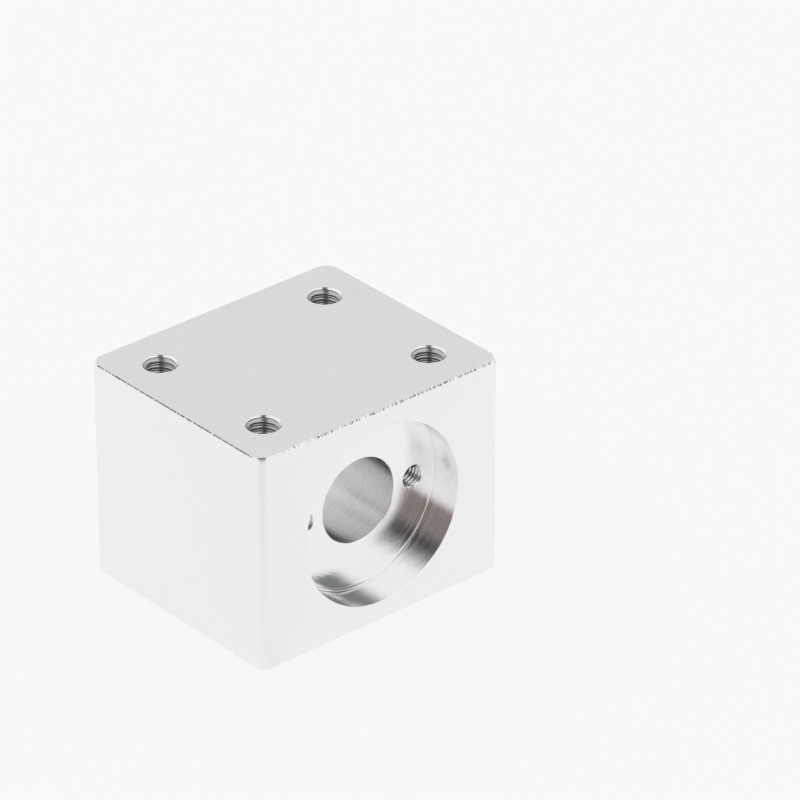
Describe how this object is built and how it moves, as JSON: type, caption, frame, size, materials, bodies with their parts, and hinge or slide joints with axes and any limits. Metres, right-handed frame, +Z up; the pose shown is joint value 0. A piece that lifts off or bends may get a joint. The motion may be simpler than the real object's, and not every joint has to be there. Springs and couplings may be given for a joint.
{
  "type": "lead screw nut housing",
  "caption": "Machined aluminium block that carries a flanged lead screw nut: round seat and through bore in front, tapped holes for the nut's screws, tapped holes in the top.",
  "frame": {"origin": "middle of the base, on the plane that the block stands on", "axes": "+Z up, out of the face with the tapped holes; Y along the screw, with the nut's seat in the front face at -Y; X across the front face"},
  "size_m": [0.035, 0.03, 0.027],
  "materials": {
    "housing": "satin clear-anodised outside, bright turned seat and bore"
  },
  "bodies": {
    "root": {"nut_housing": "housing"}
  },
  "joints": []
}
